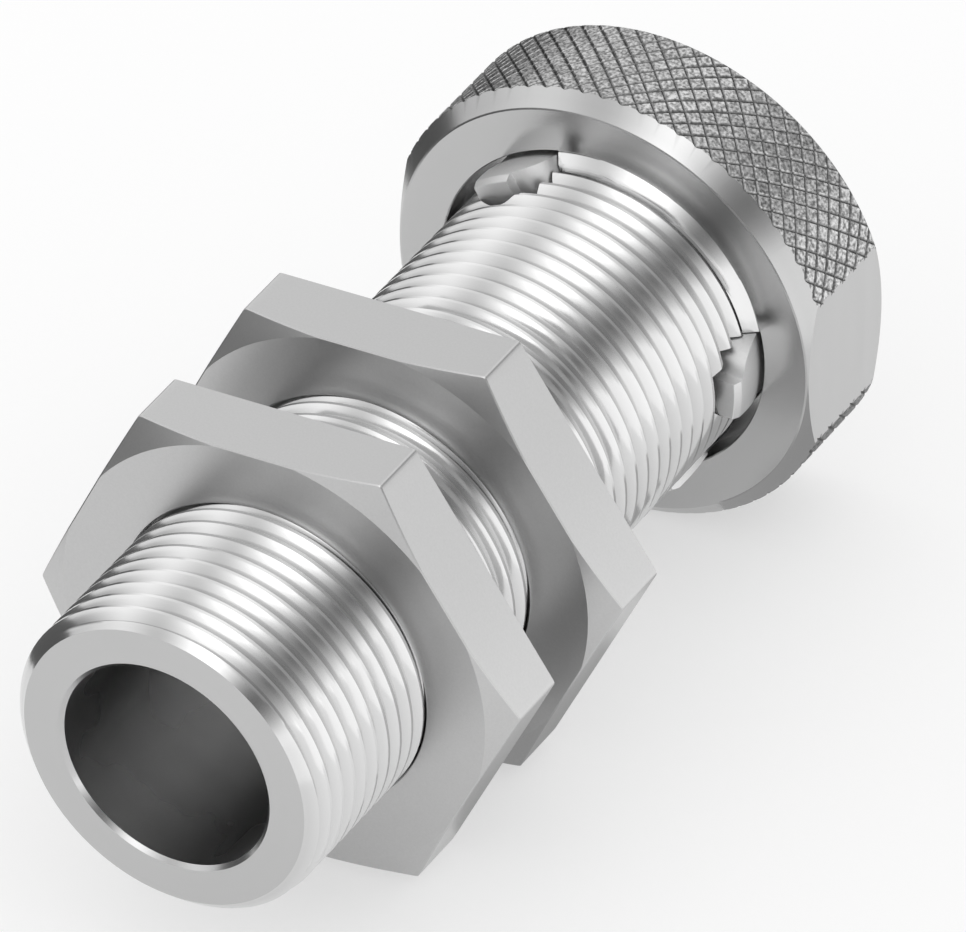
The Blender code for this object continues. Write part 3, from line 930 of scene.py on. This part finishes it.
# %% The claws
CLAW_TUBE_RADIUS = 6.1 * MM
CLAW_TUBE_MIDDLE = 5.7 * MM
CLAW_ROOT = CLAW_TUBE_MIDDLE - 0.3 * MM
CLAW_NOSE_HEIGHT = KNURLED_FRONT - claw_low.y
CLAW_FOOT_DEPTH = claw_high.y - KNURLED_FRONT
CLAW_SHOULDER_RADIUS = 1.88 * MM
CLAW_SHOULDER_HEIGHT = 0.32 * MM
CLAW_NOSE_NEAR = 0.75 * MM
CLAW_FAR_SIDE = [(-1.28, 2.6), (-1.86, 0.0)]
CLAW_BACK = [(8.36, -0.03), (8.45, 0.0), (8.60, 0.7), (8.69, 1.4), (8.74, 2.2), (8.60, 2.58), (8.56, 2.6)]
CLAW_ARC_STEPS = 16
CLAW_SHARP = 20.0


def claw_plan():
    """The claw seen from outside, as (across, forwards) points from the nut's front face."""
    plan = [(across * MM, min(height * MM, CLAW_NOSE_HEIGHT)) for across, height in CLAW_FAR_SIDE]
    plan += [(plan[-1][0], -CLAW_FOOT_DEPTH), (CLAW_SHOULDER_RADIUS, -CLAW_FOOT_DEPTH)]
    last = math.acos(CLAW_NOSE_NEAR / CLAW_SHOULDER_RADIUS)
    for i in range(CLAW_ARC_STEPS + 1):
        turn = last * i / CLAW_ARC_STEPS
        height = CLAW_SHOULDER_HEIGHT + CLAW_SHOULDER_RADIUS * math.sin(turn)
        plan.append((CLAW_SHOULDER_RADIUS * math.cos(turn), height))
    return plan + [(CLAW_NOSE_NEAR, CLAW_NOSE_HEIGHT)]


def claw_block(number, angle, side):
    """One claw as a prism that reaches from the tube to well outside the thread."""
    outwards, across, forwards = claw_axes(angle, side)
    foot = Vector((0.0, KNURLED_FRONT, 0.0))
    outline = [across * place + foot + forwards * height for place, height in claw_plan()]
    return prism(f"claw_{number}", outline, outwards, CLAW_ROOT, RIM_RADIUS)


def claw_blank():
    """The turned shape that gives all four claws their backs. CLAW_BACK holds (radius, forwards) in mm."""
    back = [(radius * MM, KNURLED_FRONT - min(height * MM, CLAW_NOSE_HEIGHT)) for radius, height in CLAW_BACK]
    inside = [(CLAW_TUBE_MIDDLE, claw_low.y), (CLAW_TUBE_MIDDLE, claw_high.y), (back[0][0], claw_high.y)]
    return turned("claw_blank", inside + back, ROUND_STEPS, claw_steel_painted_light)


def claw_tube():
    """The short tube that slides in the counterbore."""
    ends = (claw_low.y, claw_high.y)
    profile = [(BORE_RADIUS, y) for y in ends] + [(CLAW_TUBE_RADIUS, y) for y in reversed(ends)]
    return turned("claw_tube", profile, STEPS_ROUND, claw_steel_painted_light)


blocks = [claw_block(number, *direction) for number, direction in enumerate(claw_directions())]
claws = joined("claws", blocks, claw_steel_painted_light)
carve(claws, claw_blank(), "INTERSECT")
carve(claws, claw_tube(), "UNION")
clean(claws, CLAW_SHARP)
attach(claws, "claws")
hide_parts("claw_sleeve")

# %% [markdown]
# ## Floor and light
#
# The fitting lies on a plain white floor under broad soft light. Metal shows little of its own colour:
# it shows the room. So the room is what is lit here. White light comes from all round, and a broad lamp
# at the right brightens the flats on that side. Half of what the camera sees of the floor is plain
# white, and so is a part of what the metal mirrors. The rest is real light, so the floor keeps a soft
# shadow of the part.

# %% Floor
FLOOR_HEIGHT = cad_box[0].z
FLOOR_REACH = 2.0
FLOOR_WHITE = (0.98, 0.98, 0.98, 1.0)
FLOOR_GLOW = 0.5
REFLECTED_GLOW = 0.4


def empty_material(name):
    """A material with nothing but an output; returns it, its tree and the Surface socket."""
    material = bpy.data.materials.new(name)
    material.use_nodes = True
    material.node_tree.nodes.clear()
    surface = node(material.node_tree, "ShaderNodeOutputMaterial").inputs["Surface"]
    return material, material.node_tree, surface


def white_floor():
    """Diffuse white, mixed with a plain glow for the camera and for reflections."""
    material, tree, surface = empty_material("floor_white")
    diffuse = node(tree, "ShaderNodeBsdfDiffuse", [("Color", FLOOR_WHITE)])
    glow = node(tree, "ShaderNodeEmission", [("Color", (1.0, 1.0, 1.0, 1.0)), ("Strength", 1.0)])
    path = node(tree, "ShaderNodeLightPath").outputs
    reflected = sums(tree, "MAXIMUM", path["Is Glossy Ray"], path["Is Transmission Ray"])
    seen = sums(tree, "MULTIPLY", path["Is Camera Ray"], FLOOR_GLOW)
    share = sums(tree, "ADD", seen, sums(tree, "MULTIPLY", reflected, REFLECTED_GLOW))
    mix = node(tree, "ShaderNodeMixShader", [(0, share), (1, diffuse.outputs[0]), (2, glow.outputs[0])])
    tree.links.new(mix.outputs[0], surface)
    return material


floor_mesh = bpy.data.meshes.new("floor")
floor_mesh.from_pydata(
    [(x * FLOOR_REACH, y * FLOOR_REACH, FLOOR_HEIGHT) for x, y in ((-1, -1), (1, -1), (1, 1), (-1, 1))],
    [], [(0, 1, 2, 3)],
)
floor_mesh.materials.append(white_floor())
floor = loose_object("floor", floor_mesh)
print("floor at, mm:", round(FLOOR_HEIGHT / MM, 2))

# %% World
world = bpy.data.worlds.new("studio")
world.use_nodes = True
bpy.context.scene.world = world
background = world.node_tree.nodes["Background"]
background.inputs["Color"].default_value = (1.0, 1.0, 1.0, 1.0)
background.inputs["Strength"].default_value = 1.0
print("world:", world.name)

# %% Lamp
LAMP_PLACE = Vector((0.9, 0.82, 0.10))
LAMP_SIZE = (0.7, 0.4)
LAMP_WATTS = 0.3

light = bpy.data.lights.new("right_lamp", "AREA")
light.shape = "RECTANGLE"
light.size, light.size_y = LAMP_SIZE
light.energy = LAMP_WATTS
lamp = bpy.data.objects.new("right_lamp", light)
bpy.context.scene.collection.objects.link(lamp)
lamp.location = LAMP_PLACE
lamp.rotation_mode = "QUATERNION"
lamp.rotation_quaternion = LAMP_PLACE.to_track_quat("Z", "Y")
lamp.visible_camera = False
print("lamp:", lamp.name, LAMP_WATTS, "W")

# %% [markdown]
# ## The panel over the part
#
# Bright turned metal is drawn by what stands round it. A photographer hangs panels where the surface
# mirrors them: here a long curved panel arches over the part, bright, with one dark strip and one grey
# one, so that dark and light streaks run down the thread, its chamfer and the rim alike. A surface
# faces a direction by two angles, one round the axis and one off it, and the panel's points are
# where a mirror with those angles would send the photographer's line of sight. Several lamps could do
# it too, but they would also light the floor, and this panel shows only in reflections.

# %% The panel's glow
PANEL_GLOW = 1.25
LEAN_START, LEAN_WIDTH = 28.0, 62.0
CHAMFER_FACING, CHAMFER_SPAN = 45.0, 9.0
DARK_MIDDLE, DARK_WIDTH, DARK_DEPTH = 45.5, 15.5, 0.73
DARK_NARROWING, DARK_DEEPENING = 3.0, 0.15
GREY_MIDDLE, GREY_WIDTH, GREY_DEPTH, GREY_LEAN = 87.0, 9.0, 0.42, 0.1
LOW_MIDDLE, LOW_WIDTH, LOW_BOOST = 22.0, 10.0, 0.35
CHAMFER_BOOSTS = ((66.0, 10.0, 0.8), (20.0, 10.0, 0.7))
FADE_START, FADE_WIDTH, FADE_DEPTH = 101.0, 18.0, 0.85
FADE_SPARED, FADE_SPARED_WIDTH, FADE_SPARING = 46.0, 10.0, 0.6


def dip(angle, middle, width):
    """1 at a middle angle, falling softly to 0 on both sides."""
    return math.exp(-(((angle - middle) / width) ** 2))


def panel_glow(around_axis, off_axis):
    """Brightness of the panel by the two angles, in degrees, of the surface that mirrors it."""
    lean = (off_axis - LEAN_START) / LEAN_WIDTH
    chamfer = dip(off_axis, CHAMFER_FACING, CHAMFER_SPAN)
    dark = dip(around_axis, DARK_MIDDLE, DARK_WIDTH - DARK_NARROWING * chamfer)
    glow = PANEL_GLOW * (1 - (DARK_DEPTH + DARK_DEEPENING * chamfer) * dark)
    glow *= 1 - (GREY_DEPTH - GREY_LEAN * lean) * dip(around_axis, GREY_MIDDLE, GREY_WIDTH)
    glow *= 1 + LOW_BOOST * dip(around_axis, LOW_MIDDLE, LOW_WIDTH)
    boost = sum(height * dip(around_axis, middle, width) for middle, width, height in CHAMFER_BOOSTS)
    glow *= 1 + boost * chamfer
    fall = min(max((around_axis - FADE_START) / FADE_WIDTH, 0.0), 1.0)
    depth = FADE_DEPTH - FADE_SPARING * dip(off_axis, FADE_SPARED, FADE_SPARED_WIDTH)
    return glow * (1 - depth * fall)


print("glow round the thread:", {angle: round(panel_glow(angle, 90), 2) for angle in range(20, 140, 20)})

# %% The panel
CAMERA_AZIMUTH = math.radians(33.866)
CAMERA_ELEVATION = math.radians(35.928)
PANEL_DISTANCE = 0.45
PANEL_AROUND = range(14, 139, 2)
PANEL_OFF = range(22, 99, 4)

backwards = Vector((
    math.sin(CAMERA_AZIMUTH) * math.cos(CAMERA_ELEVATION),
    -math.cos(CAMERA_AZIMUTH) * math.cos(CAMERA_ELEVATION),
    math.sin(CAMERA_ELEVATION),
))


def glowing(name, strength=1.0, attribute=None):
    """A material that only glows, at one strength or by a value kept in the mesh."""
    material, tree, surface = empty_material(name)
    if attribute:
        strength = node(tree, "ShaderNodeAttribute", attribute_name=attribute).outputs["Fac"]
    emission = node(tree, "ShaderNodeEmission", [("Strength", strength)])
    tree.links.new(emission.outputs[0], surface)
    return material


def only_mirrored(thing):
    """Hide a stage piece from all but reflections."""
    thing.visible_camera = False
    thing.visible_diffuse = False
    thing.visible_shadow = False


def make_panel():
    """The curved panel, with its glow kept at its points."""
    points = []
    glows = []
    for around_axis in PANEL_AROUND:
        for off_axis in PANEL_OFF:
            tilt = math.radians(off_axis)
            facing = around(math.sin(tilt), math.radians(around_axis), -math.cos(tilt))
            points.append((2 * facing.dot(backwards) * facing - backwards) * PANEL_DISTANCE)
            glows.append(panel_glow(around_axis, off_axis))
    count = len(PANEL_OFF)
    faces = [
        (i * count + j, i * count + j + 1, (i + 1) * count + j + 1, (i + 1) * count + j)
        for i in range(len(PANEL_AROUND) - 1) for j in range(count - 1)
    ]
    mesh = bpy.data.meshes.new("curved_panel")
    mesh.from_pydata(points, [], faces)
    mesh.attributes.new("glow", "FLOAT", "POINT").data.foreach_set("value", glows)
    mesh.materials.append(glowing("panel_cloth", attribute="glow"))
    panel = loose_object("curved_panel", mesh)
    only_mirrored(panel)
    print("panel:", len(mesh.polygons), "faces, glow", round(min(glows), 2), "to", round(max(glows), 2))


make_panel()

# %% [markdown]
# Four small cards stand or lie by the part, where only the metal sees them. Two grey ones lie under the
# fitting and under the wrench flat: they are painted shadow, standing in for the floor's shade under
# the part, which the white floor would otherwise mirror too brightly. A dark one stands at the left for
# the far flank of the thread, and a bright one at the right lifts the flank that turns away from the
# light.

# %% The cards
CARD_LEVEL = FLOOR_HEIGHT / MM + 0.1


def lying(x_low, y_low, x_high, y_high):
    """Corners, in mm, of a card that lies just over the floor."""
    places = ((x_low, y_low), (x_high, y_low), (x_high, y_high), (x_low, y_high))
    return [(x, y, CARD_LEVEL) for x, y in places]


def standing(x, y_low, y_high, top):
    """Corners, in mm, of a card that stands on the floor along Y."""
    return [(x, y_low, CARD_LEVEL), (x, y_high, CARD_LEVEL), (x, y_high, top), (x, y_low, top)]


def make_card(name, corners, tone):
    """A plain card with one tone, from near black to brighter than white."""
    mesh = bpy.data.meshes.new(name)
    mesh.from_pydata([[v * MM for v in corner] for corner in corners], [], [(0, 1, 2, 3)])
    mesh.materials.append(glowing(name, tone))
    card = loose_object(name, mesh)
    only_mirrored(card)
    print("card:", name, tone)


# Painted shadow: these two grey cards stand in for the floor's shade under the part, as the metal mirrors it.
make_card("painted_shadow_card_under", lying(-8, -9, 11, 5.5), 0.42)
make_card("painted_shadow_card_right", lying(5, 9, 20, 22), 0.45)
make_card("card_low", standing(34, -50, 80, 9), 1.2)
make_card("card_left", standing(-45, -80, 60, 10), 0.12)

# %% [markdown]
# ## The camera
#
# The camera stands where the photographer's stood, as fitted from the circles and corners of the part:
# in front of the open end, to the right and above, with a long lens and a slight roll. Three unit
# vectors, right, up and backwards, are its rotation matrix.

# %% Camera
CAMERA_ROLL = math.radians(-5.158)
CAMERA_DISTANCE = 677.61 * MM
CAMERA_AIM = Vector((1.904, 1.994, 0.820)) * MM
CAMERA_LENS = 552.92
SENSOR_WIDTH = 36.0

level_right = Vector((math.cos(CAMERA_AZIMUTH), math.sin(CAMERA_AZIMUTH), 0.0))
level_up = backwards.cross(level_right)
right = level_right * math.cos(CAMERA_ROLL) + level_up * math.sin(CAMERA_ROLL)
up = backwards.cross(right)
lens = bpy.data.cameras.new("camera")
lens.lens = CAMERA_LENS
lens.sensor_width = SENSOR_WIDTH
lens.clip_start = 0.01
lens.clip_end = 20.0
camera = bpy.data.objects.new("camera", lens)
bpy.context.scene.collection.objects.link(camera)
camera.location = CAMERA_AIM + backwards * CAMERA_DISTANCE
camera.rotation_mode = "QUATERNION"
camera.rotation_quaternion = Matrix((right, up, backwards)).transposed().to_quaternion()
bpy.context.scene.camera = camera
bpy.context.scene.view_settings.view_transform = "Standard"
print("camera at, mm:", [round(v / MM, 1) for v in camera.location])
